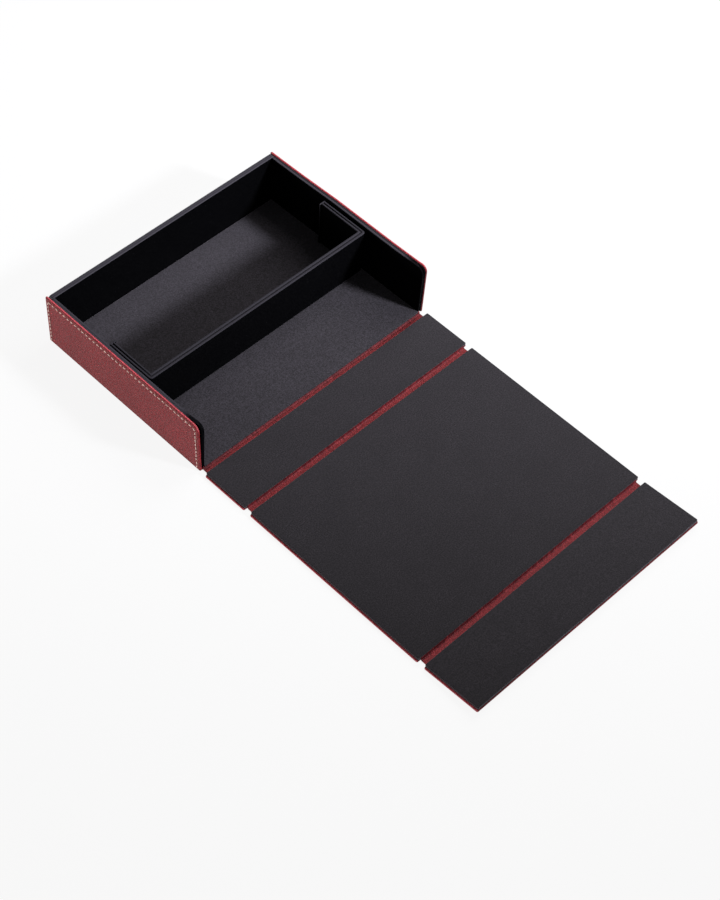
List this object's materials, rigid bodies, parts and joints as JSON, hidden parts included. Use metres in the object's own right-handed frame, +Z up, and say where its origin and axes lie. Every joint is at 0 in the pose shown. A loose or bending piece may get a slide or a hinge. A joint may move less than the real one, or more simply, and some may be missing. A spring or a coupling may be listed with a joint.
{
  "type": "dice storage box",
  "caption": "Fold-out dice box: suede-lined tray with red leatherette sides, chained front flap, lid and closing flap, and a lift-out U-shaped divider.",
  "frame": {"origin": "centre of the tray's underside, on the table", "axes": "+Z up, +X to the tray's right seen from its open front, +Y from the laid-out flaps towards the tray's back wall"},
  "size_m": [0.2288, 0.4462, 0.0488],
  "materials": {
    "red_leatherette": "fine pebbled grain, satin",
    "black_suede": "short-napped suede paper, matte",
    "greyboard": "dark grey bookbinding board, matte",
    "cream_thread": "twisted sewing thread",
    "magnet": "nickel plated"
  },
  "bodies": {
    "tray": {"base_cover": "red_leatherette", "floor_board": "greyboard", "floor_lining": "black_suede", "left_side_panel": "red_leatherette", "right_side_panel": "red_leatherette", "left_stitching": "cream_thread", "right_stitching": "cream_thread", "left_wall_core": "greyboard", "left_wall_wrap": "black_suede", "right_wall_core": "greyboard", "right_wall_wrap": "black_suede", "back_wall_core": "greyboard", "back_wall_wrap": "black_suede", "back_wall_magnets": "magnet", "front_hinge_strip": "red_leatherette"},
    "front_flap": {"front_flap_cover": "red_leatherette", "front_flap_core": "greyboard", "front_flap_lining": "black_suede", "lid_hinge_strip": "red_leatherette"},
    "lid": {"lid_cover": "red_leatherette", "lid_core": "greyboard", "lid_lining": "black_suede", "closing_hinge_strip": "red_leatherette"},
    "closing_flap": {"closing_flap_cover": "red_leatherette", "closing_flap_core": "greyboard", "closing_flap_lining": "black_suede", "closing_flap_magnets": "magnet"},
    "divider": {"divider_outer_board": "black_suede", "divider_core": "greyboard", "divider_inner_board": "black_suede"}
  },
  "joints": [
    {"name": "front_flap_fold", "type": "hinge", "parent": "tray", "child": "front_flap", "pos_m": [0, -0.0876, 0.0016], "axis": [-1, 0, 0], "range_deg": [0, 90]},
    {"name": "lid_fold", "type": "hinge", "parent": "front_flap", "child": "lid", "pos_m": [0, -0.1375, 0.0016], "axis": [-1, 0, 0], "range_deg": [0, 90]},
    {"name": "closing_flap_fold", "type": "hinge", "parent": "lid", "child": "closing_flap", "pos_m": [0, -0.312, 0.0023], "axis": [-1, 0, 0], "range_deg": [0, 86]},
    {"name": "divider_slide", "type": "slide", "parent": "tray", "child": "divider", "axis": [0, 1, 0], "range_m": [-0.06, 0.0584]}
  ]
}
